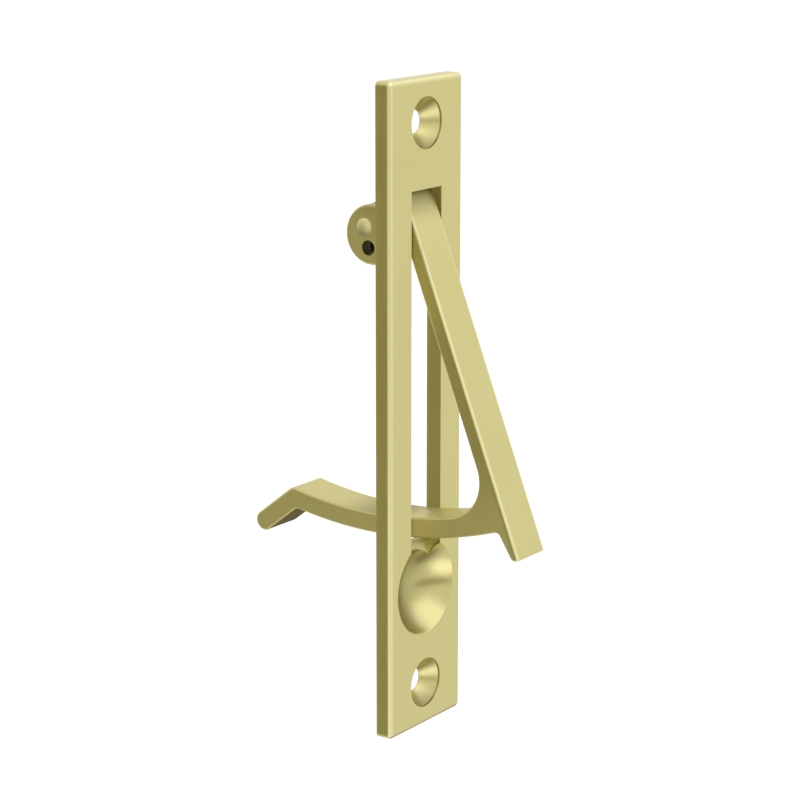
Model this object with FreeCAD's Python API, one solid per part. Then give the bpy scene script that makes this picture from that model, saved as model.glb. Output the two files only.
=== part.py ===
import FreeCAD, Part
import math
import os

from FreeCAD import Vector

# Edge pull for a pocket door, in millimetres.
# X runs across the faceplate, Y goes into the door and Z runs up the edge of the door.
# The origin is the middle of the faceplate's back face, which lies on the door.

# Faceplate
plate_length = 101.6
plate_width = 19.05
plate_thickness = 2.6
plate_edge_round = 0.65
plate_corner_round = 0.8

# Screw holes, measured from each end of the faceplate
screw_end_distance = 6.8
screw_hole_diameter = 3.6
countersink_diameter = 7.9
countersink_angle = 90.0
countersink_rim = 0.35

# Lever slot and pivot, measured from the faceplate's top end and back face
slot_end_distance = 16.7
slot_side_clearance = 0.225
pivot_drop = 5.7
pivot_setback = 4.7

# Lugs that carry the pivot pin
lug_thickness = 2.0
lug_radius = 4.6
lug_centre_forward = 1.1
lug_centre_drop = 1.1
lug_flare = 1.8
lug_edge_round = 0.5
spare_hole_diameter = 2.2
spare_hole_forward = 0.75
spare_hole_drop = 3.1

# Finger scoop and the cup behind it
scoop_end_distance = 22.4
scoop_side_margin = 2.075
scoop_depth = 4.45
cup_wall = 1.35
cup_margin = 0.85
cup_fillet = 1.0
ledge_round = 0.8

# Lever bar and its eye
lever_width = 7.4
bar_thickness = 2.4
eye_radius = 3.2
heel_drop = 1.2
eye_side_clearance = 0.125
head_clearance = 0.25
lever_edge_round = 0.35
lever_edge_bevel = 0.25
head_fillet = 1.5

# Fingertip lip at the lower end of the bar
lip_above_scoop_centre = 2.2
lip_length = 4.9
lip_root_thickness = 2.15
lip_tip_thickness = 1.4
lip_end_round = 1.0
lip_seat_clearance = 0.15

# Curved tail and its stop hook, as they lie with the lever closed
tail_thickness = 3.15
tail_curve_radius = 69.4
tail_curve_forward = 0.85
tail_reach = 35.35
tail_clearance = 0.12
tail_top_fillet = 6.2
tail_root_fillet = 0.8
hook_length = 10.2
hook_droop = 16.6
hook_outer_round = 1.4
hook_inner_round = 1.0

# Pivot pin
pin_diameter = 2.2
pin_running_clearance = 0.05
pin_press_clearance = 0.01
pin_dome_diameter = 2.8
pin_dome_height = 0.55

# How far the lever stands open
rest_opening = 21.3

# Places worked out from the sizes above
plate_front = -plate_thickness
slot_width = lever_width + 2 * slot_side_clearance
slot_top = plate_length / 2 - slot_end_distance
pivot_z = slot_top - pivot_drop
pivot_centre = Vector(0, pivot_setback, pivot_z)
lug_outer = slot_width / 2 + lug_thickness
lug_y = pivot_setback - lug_centre_forward
lug_z = pivot_z - lug_centre_drop
scoop_z = -plate_length / 2 + scoop_end_distance
scoop_radius = plate_width / 2 - scoop_side_margin
bar_back = plate_front + bar_thickness
lip_end = scoop_z + lip_above_scoop_centre
lip_root_y = plate_front + lip_root_thickness
tail_curve_y = plate_front - tail_curve_forward
tail_under_radius = tail_curve_radius + tail_thickness
tail_curve_z = lip_end + lip_length + tail_under_radius
head_top = pivot_z + eye_radius
heel_z = pivot_z - heel_drop
head_bottom = heel_z - eye_radius
seat_y = lip_root_y + lip_seat_clearance

x_axis = Vector(1, 0, 0)
y_axis = Vector(0, 1, 0)


def side_point(y, z):
    """A point of a profile drawn on the middle plane."""
    return Vector(0, y, z)


def arc_height(radius, y):
    """Height of the tail's curve of this radius at depth y."""
    return tail_curve_z - math.sqrt(radius**2 - (y - tail_curve_y) ** 2)


def line(start, end):
    return Part.makeLine(start, end)


def arc(start, middle, end):
    return Part.Arc(start, middle, end).toShape()


def prism(edges, x_start, x_end):
    """A profile drawn on the middle plane, made solid between two depths along X."""
    face = Part.Face(Part.Wire(edges))
    face.translate(Vector(x_start, 0, 0))
    return face.extrude(Vector(x_end - x_start, 0, 0))


def cross_rod(radius, y, z, half_width):
    """A cylinder along X, centred on the middle plane."""
    return Part.makeCylinder(radius, 2 * half_width, Vector(-half_width, y, z), x_axis)


def slot_block(y_start, y_end, z_start, z_end):
    """A block as wide as the lever slot."""
    size = Vector(slot_width, y_end - y_start, z_end - z_start)
    return Part.makeBox(size.x, size.y, size.z, Vector(-slot_width / 2, y_start, z_start))


def cap_sphere(base_radius, height):
    """Radius of the ball whose cap has this base radius and height."""
    return (base_radius**2 + height**2) / (2 * height)


def is_at(value, target):
    return abs(value - target) < 1e-4


def round_cross_edges(solid, corner, radius):
    """Round the edges along X that pass through one corner of a profile."""
    chosen = []
    for edge in solid.Edges:
        middle = edge.CenterOfMass
        along_x = is_at(edge.BoundBox.YLength, 0) and is_at(edge.BoundBox.ZLength, 0)
        if along_x and is_at(middle.y, corner.y) and is_at(middle.z, corner.z):
            chosen.append(edge)
    return solid.makeFillet(radius, chosen)


def make_plate():
    blank = Part.makeBox(
        plate_width,
        plate_thickness,
        plate_length,
        Vector(-plate_width / 2, plate_front, -plate_length / 2),
    )
    corner_edges = []
    for edge in blank.Edges:
        if is_at(edge.BoundBox.YLength, plate_thickness):
            corner_edges.append(edge)
    blank = blank.makeFillet(plate_corner_round, corner_edges)
    front_edges = []
    for edge in blank.Edges:
        if is_at(edge.BoundBox.YMax, plate_front):
            front_edges.append(edge)
    return blank.makeFillet(plate_edge_round, front_edges)


def make_lug(side):
    """Round lug beside the slot, with a flared root; side is -1 for left and 1 for right."""
    root = plate_front / 2
    low = lug_z - lug_radius
    high = lug_z + lug_radius
    bend = lug_flare * (1 - math.sqrt(0.5))
    corners = [
        side_point(root, low - lug_flare),
        side_point(0, low - lug_flare),
        side_point(lug_flare, low),
        side_point(lug_y, low),
        side_point(lug_y, high),
        side_point(lug_flare, high),
        side_point(0, high + lug_flare),
        side_point(root, high + lug_flare),
    ]
    outline = [
        line(corners[0], corners[1]),
        arc(corners[1], side_point(bend, low - bend), corners[2]),
        line(corners[2], corners[3]),
        arc(corners[3], side_point(lug_y + lug_radius, lug_z), corners[4]),
        line(corners[4], corners[5]),
        arc(corners[5], side_point(bend, high + bend), corners[6]),
        line(corners[6], corners[7]),
        line(corners[7], corners[0]),
    ]
    outer = side * lug_outer
    lug = prism(outline, side * slot_width / 2, outer)
    rim = []
    for edge in lug.Edges:
        on_outer_face = is_at(edge.BoundBox.XMin, outer) and is_at(edge.BoundBox.XMax, outer)
        if on_outer_face and edge.BoundBox.YMax > lug_flare / 2:
            rim.append(edge)
    return lug.makeFillet(lug_edge_round, rim)


def make_cup(plate):
    """Add the domed cup behind the finger scoop."""
    height = scoop_depth - plate_thickness + cup_wall
    base_radius = scoop_radius + cup_margin
    ball_radius = cap_sphere(base_radius, height)
    ball_centre = Vector(0, height - ball_radius, scoop_z)
    ball = Part.makeSphere(ball_radius, ball_centre)
    reach = 2 * ball_radius
    behind = Part.makeBox(reach, reach, reach, Vector(-ball_radius, 0, scoop_z - ball_radius))
    body = plate.fuse(ball.common(behind)).removeSplitter()
    foot = []
    for edge in body.Edges:
        is_circle = isinstance(edge.Curve, Part.Circle)
        if is_circle and is_at(edge.BoundBox.YMax, 0) and is_at(edge.Curve.Radius, base_radius):
            foot.append(edge)
    return body.makeFillet(cup_fillet, foot)


def make_screw_hole(z):
    radius = screw_hole_diameter / 2
    mouth = countersink_diameter / 2
    sink = (mouth - radius) / math.tan(math.radians(countersink_angle / 2))
    front = Vector(0, plate_front, z)
    shank = Part.makeCylinder(radius, plate_thickness, front, y_axis)
    rim = Part.makeCylinder(mouth, countersink_rim, front, y_axis)
    cone = Part.makeCone(mouth, radius, sink, front + y_axis * countersink_rim, y_axis)
    return shank.fuse([rim, cone])


def make_slot():
    """Through slot, relief for the lever's head and the seat for the lip."""
    ledge = arc_height(tail_under_radius, seat_y) - tail_clearance
    deep = scoop_depth + cup_wall
    through = slot_block(plate_front, deep, ledge, slot_top)
    sweep = math.hypot(pivot_setback - plate_front, eye_radius) + head_clearance
    relief = cross_rod(sweep, pivot_setback, pivot_z, slot_width / 2)
    seat = slot_block(plate_front, seat_y, scoop_z, ledge)
    slot = through.fuse([relief, seat]).removeSplitter()
    return round_cross_edges(slot, side_point(seat_y, ledge), ledge_round)


def make_scoop():
    ball_radius = cap_sphere(scoop_radius, scoop_depth)
    return Part.makeSphere(ball_radius, Vector(0, plate_front + scoop_depth - ball_radius, scoop_z))


def make_faceplate():
    body = make_cup(make_plate())
    body = body.fuse([make_lug(-1), make_lug(1)])
    hole_z = plate_length / 2 - screw_end_distance
    pin_bore = pin_diameter / 2 + pin_press_clearance
    spare_y = pivot_setback - spare_hole_forward
    spare_z = pivot_z - spare_hole_drop
    cuts = [
        make_slot(),
        make_scoop(),
        make_screw_hole(hole_z),
        make_screw_hole(-hole_z),
        cross_rod(pin_bore, pivot_setback, pivot_z, lug_outer),
        cross_rod(spare_hole_diameter / 2, spare_y, spare_z, lug_outer),
    ]
    return body.cut(cuts).removeSplitter()


def hook_direction():
    droop = math.radians(hook_droop)
    return Vector(0, math.cos(droop), -math.sin(droop))


def inner_bend(start, direction):
    """Where the hook's underside, followed back from its tip, meets the tail's underside."""
    offset = start - Vector(0, tail_curve_y, tail_curve_z)
    along = offset.dot(direction)
    root = math.sqrt(along**2 - offset.dot(offset) + tail_under_radius**2)
    return start - direction * (along - root)


def side_edges(lever, along_front):
    """The lever's edges on its two side faces, either along its front face or all the others."""
    half = lever_width / 2
    chosen = []
    for edge in lever.Edges:
        box = edge.BoundBox
        on_side = is_at(box.XLength, 0) and is_at(abs(box.XMin), half)
        on_front = is_at(box.YMax, plate_front)
        if on_side and on_front == along_front:
            chosen.append(edge)
    return chosen


def make_lever():
    """The lever as it lies with the bar flush in the slot."""
    half = lever_width / 2
    toward_tip = hook_direction()
    under = Vector(0, toward_tip.z, -toward_tip.y)

    front_top = side_point(plate_front, head_top)
    eye_top = side_point(pivot_setback, head_top)
    eye_bend = eye_radius * math.sqrt(0.5)
    eye_upper = side_point(pivot_setback + eye_bend, pivot_z + eye_bend)
    eye_back = side_point(pivot_setback + eye_radius, pivot_z)
    heel_back = side_point(pivot_setback + eye_radius, heel_z)
    heel_lower = side_point(pivot_setback + eye_bend, heel_z - eye_bend)
    heel_bottom = side_point(pivot_setback, head_bottom)
    head_corner = side_point(bar_back, head_bottom)
    tail_corner = side_point(bar_back, arc_height(tail_curve_radius, bar_back))
    tail_middle_y = (bar_back + tail_reach) / 2
    tail_middle = side_point(tail_middle_y, arc_height(tail_curve_radius, tail_middle_y))
    hump = side_point(tail_reach, arc_height(tail_curve_radius, tail_reach))
    tip_top = hump + toward_tip * (hook_length - tail_thickness / 2)
    tip_end = tip_top + (under + toward_tip) * (tail_thickness / 2)
    tip_under = tip_top + under * tail_thickness
    bend = inner_bend(tip_under, toward_tip)
    under_middle = side_point(tail_middle_y, arc_height(tail_under_radius, tail_middle_y))
    lip_root = side_point(lip_root_y, arc_height(tail_under_radius, lip_root_y))
    lip_back = side_point(plate_front + lip_tip_thickness, lip_end + lip_end_round)
    lip_base = side_point(lip_back.y - lip_end_round, lip_end)
    round_middle = lip_end_round * math.sqrt(0.5)
    lip_middle = side_point(lip_base.y + round_middle, lip_back.z - round_middle)
    front_bottom = side_point(plate_front, lip_end)

    outline = [
        line(front_top, eye_top),
        arc(eye_top, eye_upper, eye_back),
        line(eye_back, heel_back),
        arc(heel_back, heel_lower, heel_bottom),
        line(heel_bottom, head_corner),
        line(head_corner, tail_corner),
        arc(tail_corner, tail_middle, hump),
        line(hump, tip_top),
        arc(tip_top, tip_end, tip_under),
        line(tip_under, bend),
        arc(bend, under_middle, lip_root),
        line(lip_root, lip_back),
        arc(lip_back, lip_middle, lip_base),
        line(lip_base, front_bottom),
        line(front_bottom, front_top),
    ]
    lever = prism(outline, -half, half)
    lever = round_cross_edges(lever, tail_corner, tail_top_fillet)
    lever = round_cross_edges(lever, lip_root, tail_root_fillet)
    lever = round_cross_edges(lever, hump, hook_outer_round)
    lever = round_cross_edges(lever, bend, hook_inner_round)
    lever = round_cross_edges(lever, head_corner, head_fillet)
    lever = lever.makeChamfer(lever_edge_bevel, side_edges(lever, False))
    lever = lever.makeFillet(lever_edge_round, side_edges(lever, True))

    eye_half = slot_width / 2 - eye_side_clearance
    bore = pin_diameter / 2 + pin_running_clearance
    lever = lever.fuse(cross_rod(eye_radius, pivot_setback, pivot_z, eye_half))
    return lever.cut(cross_rod(bore, pivot_setback, pivot_z, eye_half)).removeSplitter()


def make_dome(side):
    """Domed end of the pin, seated on the outside of a lug."""
    ball_radius = cap_sphere(pin_dome_diameter / 2, pin_dome_height)
    seat = side * lug_outer
    centre = Vector(seat + side * (pin_dome_height - ball_radius), pivot_setback, pivot_z)
    reach = 2 * ball_radius
    corner_x = min(seat, seat + side * reach)
    outside = Part.makeBox(
        reach, reach, reach, Vector(corner_x, pivot_setback - ball_radius, pivot_z - ball_radius)
    )
    return Part.makeSphere(ball_radius, centre).common(outside)


def make_pin():
    shank = cross_rod(pin_diameter / 2, pivot_setback, pivot_z, lug_outer)
    return shank.fuse([make_dome(-1), make_dome(1)]).removeSplitter()


def write_node(name, shape):
    solids = shape.Solids
    if len(solids) != 1 or not shape.isValid():
        raise RuntimeError(name + " is not one sound solid")
    solids[0].exportStep(os.path.join("parts", name + ".step"))
    print(name, "volume", round(solids[0].Volume, 1), "cubic millimetres")


os.makedirs("parts", exist_ok=True)
opened_lever = make_lever()
opened_lever.rotate(pivot_centre, x_axis, -rest_opening)
write_node("faceplate", make_faceplate())
write_node("pull_lever", opened_lever)
write_node("pivot_pin", make_pin())
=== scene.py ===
import math

import bpy
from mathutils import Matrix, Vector

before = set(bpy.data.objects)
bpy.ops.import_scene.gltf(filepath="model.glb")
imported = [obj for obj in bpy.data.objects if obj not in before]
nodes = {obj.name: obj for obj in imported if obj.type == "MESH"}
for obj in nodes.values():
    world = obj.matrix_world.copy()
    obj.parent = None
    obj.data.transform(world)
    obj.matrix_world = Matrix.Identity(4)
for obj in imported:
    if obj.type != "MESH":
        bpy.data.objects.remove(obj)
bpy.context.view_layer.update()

# Sizes in metres and angles in degrees, in the part's own frame with the lever standing open
lever_opening = 21.3
plate_half_width = 0.009525
plate_half_length = 0.0508
plate_front = -0.0026
edge_round = 0.00065
pivot_place = (0, 0.0047, 0.0284)
bar_half_width = 0.0037
floor_size = 60.0
floor_drop = 0.25

# The sphere that the finger scoop is cut with
scoop_centre = (0, -0.00661, -0.0284)
scoop_radius = 0.00846

# Places of painted shade: centre, reach along each axis, and the share at full strength
upper_hole = (0, 0, 0.044)
lower_hole = (0, 0, -0.044)
sink_reach = (0.0041, 0.1, 0.0041)
sink_core = 0.97
spare_hole = (0, 0.00395, 0.0253)
spare_hole_reach = (0.1, 0.00125, 0.00125)
pin_shade_reach = (0.1, 0.0047, 0.0047)
hole_shade_core = 0.85
hook_underside = (0, -0.61, -0.79)
hook_underside_height = 0.00217

# Faceplate: where each kind of wear or painted shade fades, from start to end, and how strong each
# painted shade is
back_fade = (-0.0006, 0.0006)
scoop_fade = (scoop_radius + 0.0001, scoop_radius + 0.0003)
scoop_bottom_fade = (-0.0002, 0.0017)
scoop_bottom_shade = 0.38
scoop_left_fade = (-0.0030, 0.0034)
scoop_rim_fade = (plate_front, plate_front + 0.0004)
scoop_left_shade = 0.85
slot_front_fade = (-0.0025, -0.0021)
slot_side_fade = (0.0044, 0.0052)
ledge_foot_fade = (-0.0238, -0.0222)
ledge_head_fade = (-0.0175, -0.0150)
ledge_shade = 0.20
slot_top_fade = (0.0240, 0.0330)
slot_end_fade = (0.0345, 0.0350)
slot_top_shade = 0.40
lug_root_fade = (0.0003, 0.0010)
lug_top_fade = (0.0285, 0.0335)
lug_top_shade = 0.35
upper_sink_fade = (0.0400, 0.0432)
lower_sink_fade = (-0.0480, -0.0448)
sink_bottom_fade = (-0.0008, -0.0002)
sink_rim_fade = (plate_front, plate_front + 0.0003)
sink_shade = 0.70

# Lever: bar and head are measured from the pivot with the lever closed, tail and hook as they stand; the
# strengths are of painted shade
flank_fade = (bar_half_width - 0.0003, bar_half_width - 0.0001)
long_edge_fade = (bar_half_width - 0.0006, bar_half_width - 0.0002)
bar_front_fade = (-0.0072, -0.0068)
bar_back_fade = (-0.0045, -0.0015)
root_front_fade = (-0.0070, -0.0062)
root_top_fade = (-0.0500, -0.0360)
head_fade = (-0.0024, 0.0036)
head_back_fade = (-0.0050, -0.0020)
head_shade = 0.80
cheek_fade = (-0.0160, -0.0030)
cheek_shade = 0.30
tail_near_fade = (-0.0030, 0.0020)
tail_far_fade = (0.0045, 0.0130)
tail_shade = 0.48
hook_height_fade = (hook_underside_height - 0.00040, hook_underside_height - 0.00010)
hook_start_fade = (0.0175, 0.0195)
hook_shade = 0.95

# Pin: painted shade on the lower part of its domed ends
dome_fade = (0.0272, 0.0288)
pin_dome_shade = 0.65

# Brass where it is rubbed, and on the pin a lighter copy that paints a highlight on its domed ends: each
# a darker and a lighter shade
rubbed_brass = ((0.620, 0.560, 0.232, 1), (0.655, 0.595, 0.256, 1))
rivet_brass_painted_highlight = ((0.790, 0.730, 0.370, 1), (0.830, 0.770, 0.400, 1))

# Kinds of wear and of painted light: the colour of the brass there, and how much rougher it is
# Painted highlight along the front edges of the plate and the bar
painted_edge_highlight = ((0.780, 0.725, 0.370, 1), 0.06)
left_cast = ((0.636, 0.574, 0.240, 1), 0.22)
polished_by_fingers = ((0.590, 0.535, 0.222, 1), -0.10)
# Painted shade: dark brass standing in for shade in hollows, under parts and on lower sides
painted_shade = ((0.150, 0.125, 0.036, 1), 0.06)
# Painted shade on the hook's underside
painted_underside_shade = ((0.170, 0.130, 0.012, 1), 0.25)
# Painted shade: near-black where the spare hole is in shade
painted_hole_shade = ((0.022, 0.016, 0.006, 1), 0.10)

# Finish: roughness of the pieces, size of the patterns, depth of the lines, and the lacquer
satin_roughness = 0.33
rivet_roughness = 0.55
line_scale = (9000, 9000, 260)
cloud_scale = 70.0
pore_scale = 1500.0
line_strength = 0.12
line_depth = 0.00002
lacquer_weight = 0.15
lacquer_roughness = 0.2

# Studio dome: a white ground, and patches laid over it in this order.
# Each has the azimuth and elevation of its middle, its reach, the share at full strength, and its colour.
white = (1.0, 1.0, 1.0, 1)
dome_patches = {
    "window": (15, -8, (0.50, 0.50, 0.45), 0.25, (1.20, 1.20, 1.25, 1)),
    "far_right": (102, -30, (0.62, 0.62, 0.54), 0.25, (0.22, 0.19, 0.10, 1)),
    "low_front": (35, -60, (0.55, 0.55, 0.45), 0.25, (0.30, 0.28, 0.20, 1)),
    "dim_side": (-128, -6, (0.95, 0.95, 1.10), 0.25, (0.345, 0.325, 0.195, 1)),
    "horizon": (-24, -6, (1.00, 1.00, 0.18), 0.4, (0.50, 0.475, 0.36, 1)),
    "ceiling": (20, 58, (0.90, 0.90, 0.90), 0.45, (1.55, 1.55, 1.75, 1)),
    "near_floor": (-48, -37, (0.62, 0.62, 0.40), 0.3, (1.75, 1.75, 2.00, 1)),
}
floor_white = (0.98, 0.98, 0.92, 1)

# Where the picture is taken from
camera_place = (-0.29668, -0.20793, 0.08751)
camera_heading = 54.678
camera_dip = 13.396
lens_length = 109.19
sensor_size = 36.0
nearest_view = 0.01
farthest_view = 100.0

# Places of the colour sockets on a Mix node
mix_low = 6
mix_high = 7
mix_result = 2


class Shade:
    """A shader value: sums of values add the nodes that work them out."""

    def __init__(self, tree, socket=None):
        self.tree = tree
        self.socket = socket

    def node(self, kind, settings, inputs, output=0):
        """Add any node: its settings first, then the values or links of its sockets."""
        made = self.tree.nodes.new(kind)
        for name, value in settings.items():
            setattr(made, name, value)
        for name, value in inputs.items():
            if isinstance(value, Shade):
                self.tree.links.new(value.socket, made.inputs[name])
            else:
                made.inputs[name].default_value = value
        return Shade(self.tree, made.outputs[output])

    def maths(self, operation, first, second):
        return self.node("ShaderNodeMath", {"operation": operation}, {0: first, 1: second})

    def __add__(self, other):
        return self.maths("ADD", self, other)

    def __radd__(self, other):
        return self.maths("ADD", other, self)

    def __sub__(self, other):
        return self.maths("SUBTRACT", self, other)

    def __rsub__(self, other):
        return self.maths("SUBTRACT", other, self)

    def __mul__(self, other):
        return self.maths("MULTIPLY", self, other)

    def __rmul__(self, other):
        return self.maths("MULTIPLY", other, self)

    def larger(self, *others):
        """The largest of this value and the others."""
        largest = self
        for other in others:
            largest = self.maths("MAXIMUM", largest, other)
        return largest

    def size(self):
        """This value without its sign."""
        return self.node("ShaderNodeMath", {"operation": "ABSOLUTE"}, {0: self})

    def part(self, axis):
        """One part, X, Y or Z, of a vector."""
        return self.node("ShaderNodeSeparateXYZ", {}, {"Vector": self}, axis)

    def ramp(self, start, end):
        """Rise smoothly from 0 at start to 1 at end."""
        limits = {"Value": self, "From Min": start, "From Max": end}
        return self.node("ShaderNodeMapRange", {"interpolation_type": "SMOOTHSTEP"}, limits)

    def fall(self, start, end):
        """Fall smoothly from 1 at start to 0 at end."""
        return 1 - self.ramp(start, end)

    def vector_maths(self, operation, second, output=0):
        inputs = {0: self} if second is None else {0: self, 1: second}
        return self.node("ShaderNodeVectorMath", {"operation": operation}, inputs, output)

    def mapped(self, turn, scale=(1, 1, 1)):
        """A place turned about X by an angle, and scaled."""
        inputs = {"Vector": self, "Rotation": (math.radians(turn), 0, 0), "Scale": scale}
        return self.node("ShaderNodeMapping", {"vector_type": "POINT"}, inputs)

    def near(self, centre, reach, core):
        """1 within the core around a centre, fading to 0 at its reach along each axis."""
        inverse = tuple(1 / length for length in reach)
        offset = self.vector_maths("SUBTRACT", tuple(centre)).vector_maths("MULTIPLY", inverse)
        distance = offset.vector_maths("LENGTH", None, "Value")
        return distance.fall(core, 1.0)

    def blend(self, low, high):
        """Blend two colours by this value."""
        inputs = {"Factor": self, mix_low: low, mix_high: high}
        return self.node("ShaderNodeMix", {"data_type": "RGBA"}, inputs, mix_result)


def start_material(name):
    """A new material, and its surface shader."""
    material = bpy.data.materials.new(name)
    material.use_nodes = True
    return material, material.node_tree.nodes["Principled BSDF"]


def noise(place, scale, detail):
    inputs = {"Vector": place, "Scale": scale, "Detail": detail, "Roughness": 0.55}
    return place.node("ShaderNodeTexNoise", {}, inputs, "Fac")


def satin_brass(name, turn, roughness, colours, wear_and_painted_light):
    """Brass rubbed along Z turned about X, under clear lacquer, with its wear and painted light laid on
    in order.
    """
    material, surface = start_material(name)
    tree = material.node_tree
    place = Shade(tree).node("ShaderNodeTexCoord", {}, {}, "Object")
    lines = noise(place.mapped(turn, line_scale), 1.0, 3.0)
    clouds = noise(place, cloud_scale, 2.0)
    pores = noise(place, pore_scale, 2.0)

    tone = clouds * 0.6 + lines * 0.25 + pores * 0.15
    colour = tone.ramp(0.25, 0.75).blend(*colours)
    rough = roughness + (lines - 0.5) * 0.10 + (clouds - 0.5) * 0.06
    for mask, (worn_or_painted_colour, rougher) in wear_and_painted_light(place):
        colour = mask.blend(colour, worn_or_painted_colour)
        rough = rough + mask * rougher

    height = lines * 0.7 + pores * 0.3
    bump = {"Strength": line_strength, "Distance": line_depth, "Height": height}
    normal = place.node("ShaderNodeBump", {}, bump)
    tree.links.new(colour.socket, surface.inputs["Base Color"])
    tree.links.new(rough.socket, surface.inputs["Roughness"])
    tree.links.new(normal.socket, surface.inputs["Normal"])
    surface.inputs["Metallic"].default_value = 1.0
    surface.inputs["Coat Weight"].default_value = lacquer_weight
    surface.inputs["Coat Roughness"].default_value = lacquer_roughness
    return material


def plate_wear_and_painted_light(place):
    """Painted highlight on the left and top front edges, a cast back, a polished scoop, painted shade in
    the scoop, on the ledge, at the slot's top, on the lug tops and in the countersinks, and a painted
    dark patch inside the spare hole.
    """
    across = place.part("X")
    depth = place.part("Y")
    rise = place.part("Z")

    # Painted highlight along the plate's left and top front edges
    inner = 1.6 * edge_round
    outer = 0.6 * edge_round
    left = across.fall(outer - plate_half_width, inner - plate_half_width)
    top = rise.ramp(plate_half_length - inner, plate_half_length - outer)
    front = depth.fall(plate_front + 0.3 * edge_round, plate_front + 0.8 * edge_round)
    highlight_edges = left.larger(top) * front

    scoop = place.vector_maths("DISTANCE", scoop_centre, "Value").fall(*scoop_fade)
    back = depth.ramp(*back_fade) * (1 - scoop)

    # Painted shade: in the scoop's bottom and left side, on the ledge under the tail, at the slot's top,
    # on the lug tops and in the countersinks
    scoop_bottom = depth.ramp(*scoop_bottom_fade) * scoop * scoop_bottom_shade
    scoop_left = across.fall(*scoop_left_fade) * depth.ramp(*scoop_rim_fade) * scoop * scoop_left_shade
    slot = depth.ramp(*slot_front_fade) * across.size().fall(*slot_side_fade)
    ledge = rise.ramp(*ledge_foot_fade) * rise.fall(*ledge_head_fade) * slot * ledge_shade
    slot_top = rise.ramp(*slot_top_fade) * rise.fall(*slot_end_fade) * slot * slot_top_shade
    lug_top = depth.ramp(*lug_root_fade) * rise.ramp(*lug_top_fade) * lug_top_shade
    upper_sink = place.near(upper_hole, sink_reach, sink_core) * rise.fall(*upper_sink_fade)
    lower_sink = place.near(lower_hole, sink_reach, sink_core) * rise.fall(*lower_sink_fade)
    cone = depth.fall(*sink_bottom_fade) * depth.ramp(*sink_rim_fade)
    sinks = upper_sink.larger(lower_sink) * cone * sink_shade
    painted_shade_mask = scoop_bottom.larger(scoop_left, ledge, slot_top, lug_top, sinks)

    # Painted shade: a near-black patch inside the spare hole
    hole_shade_mask = place.near(spare_hole, spare_hole_reach, hole_shade_core)
    return (
        (highlight_edges, painted_edge_highlight),
        (back, left_cast),
        (scoop, polished_by_fingers),
        (painted_shade_mask, painted_shade),
        (hole_shade_mask, painted_hole_shade),
    )


def lever_wear_and_painted_light(place):
    """Painted highlight on the bar's front edges, a cast tail, painted shade at the head, cheeks, tail
    and hook's underside, and a painted dark patch on the flanks by the pin.
    """
    closed = place.vector_maths("SUBTRACT", pivot_place).mapped(lever_opening)
    side = closed.part("X").size()
    depth = closed.part("Y")
    rise = closed.part("Z")
    behind = place.part("Y")

    flank = side.ramp(*flank_fade)
    # Painted highlight along the bar's long front edges
    highlight_edges = side.ramp(*long_edge_fade) * depth.fall(*bar_front_fade)

    # Painted shade at the head below the slot's top, on the cheeks, and on the tail just behind the plate
    head = rise.ramp(*head_fade) * depth.fall(*head_back_fade) * head_shade
    cheek = rise.ramp(*cheek_fade) * flank * cheek_shade
    tail = behind.ramp(*tail_near_fade) * behind.fall(*tail_far_fade) * (1 - flank) * tail_shade
    painted_shade_mask = head.larger(cheek, tail)

    # Painted shade on the hook's underside
    under = place.vector_maths("DOT_PRODUCT", hook_underside, "Value").ramp(*hook_height_fade)
    hook = under * behind.ramp(*hook_start_fade) * (1 - flank) * hook_shade

    root = depth.ramp(*root_front_fade) * rise.fall(*root_top_fade)
    back = depth.ramp(*bar_back_fade).larger(root) * (1 - hook)

    # Painted shade: a near-black patch on the flanks around the pin, seen through the spare hole
    hole_shade_mask = closed.near((0, 0, 0), pin_shade_reach, hole_shade_core) * flank
    return (
        (highlight_edges, painted_edge_highlight),
        (back, left_cast),
        (painted_shade_mask, painted_shade),
        (hook, painted_underside_shade),
        (hole_shade_mask, painted_hole_shade),
    )


def pin_painted_shade(place):
    """Painted shade on the lower part of the domed ends."""
    # Painted shade: darker brass below the middle of the pin's ends
    painted_shade_mask = place.part("Z").fall(*dome_fade) * pin_dome_shade
    return ((painted_shade_mask, painted_shade),)


def dress(node, material):
    mesh = nodes[node].data
    mesh.materials.clear()
    mesh.materials.append(material)


def dress_pull():
    """Brass on all three pieces; the plate and the scoop show no mirror image of the lever."""
    plate_brass = satin_brass("plate_brass", 0, satin_roughness, rubbed_brass, plate_wear_and_painted_light)
    lever_brass = satin_brass("lever_brass", lever_opening, satin_roughness, rubbed_brass, lever_wear_and_painted_light)
    pin_brass = satin_brass("pin_brass", 90, rivet_roughness, rivet_brass_painted_highlight, pin_painted_shade)
    dress("faceplate", plate_brass)
    dress("pull_lever", lever_brass)
    dress("pivot_pin", pin_brass)
    nodes["pull_lever"].visible_glossy = False


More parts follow.
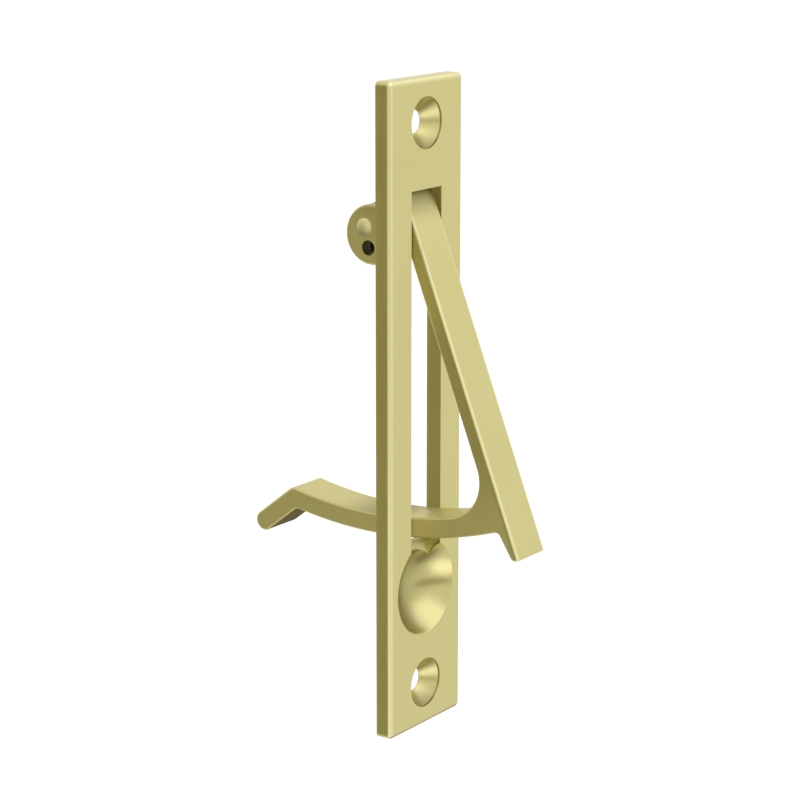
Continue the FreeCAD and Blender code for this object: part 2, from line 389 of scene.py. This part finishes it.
def heading(azimuth, elevation):
    """Unit vector for a compass direction: azimuth 0 is in front of the plate, 90 on its right."""
    turn = math.radians(azimuth)
    rise = math.radians(elevation)
    return Vector((math.sin(turn) * math.cos(rise), -math.cos(turn) * math.cos(rise), math.sin(rise)))


def light_studio():
    """A dome that lights the pull and shows in the brass, with plain white behind the pull."""
    world = bpy.data.worlds.new("studio")
    bpy.context.scene.world = world
    world.use_nodes = True
    tree = world.node_tree
    tree.nodes.clear()
    start = Shade(tree)
    way = start.node("ShaderNodeTexCoord", {}, {}, "Generated")

    dome = white
    for azimuth, elevation, reach, core, colour in dome_patches.values():
        dome = way.near(heading(azimuth, elevation), reach, core).blend(dome, colour)
    seen = start.node("ShaderNodeLightPath", {}, {}, "Is Camera Ray")
    through = start.node("ShaderNodeLightPath", {}, {}, "Is Transmission Ray")
    dome = seen.larger(through).blend(dome, white)
    sky = start.node("ShaderNodeBackground", {}, {"Color": dome, "Strength": 1.0})
    output = tree.nodes.new("ShaderNodeOutputWorld")
    tree.links.new(sky.socket, output.inputs["Surface"])


def lay_floor():
    bpy.ops.mesh.primitive_plane_add(size=floor_size, location=(0, 0, -plate_half_length - floor_drop))
    floor = bpy.context.object
    floor.name = "floor"
    floor.visible_glossy = False
    material, surface = start_material("floor_white")
    surface.inputs["Base Color"].default_value = floor_white
    surface.inputs["Roughness"].default_value = 1.0
    surface.inputs["Specular IOR Level"].default_value = 0.0
    floor.data.materials.append(material)


def place_camera():
    camera = bpy.data.objects.new("camera", bpy.data.cameras.new("camera"))
    bpy.context.scene.collection.objects.link(camera)
    camera.data.sensor_fit = "HORIZONTAL"
    camera.data.sensor_width = sensor_size
    camera.data.lens = lens_length
    camera.data.clip_start = nearest_view
    camera.data.clip_end = farthest_view
    camera.location = camera_place
    camera.rotation_euler = (math.radians(90 - camera_dip), 0, math.radians(-camera_heading))
    bpy.context.scene.camera = camera


bpy.ops.object.select_all(action="DESELECT")
bpy.context.scene.view_settings.view_transform = "Standard"
dress_pull()
light_studio()
lay_floor()
place_camera()
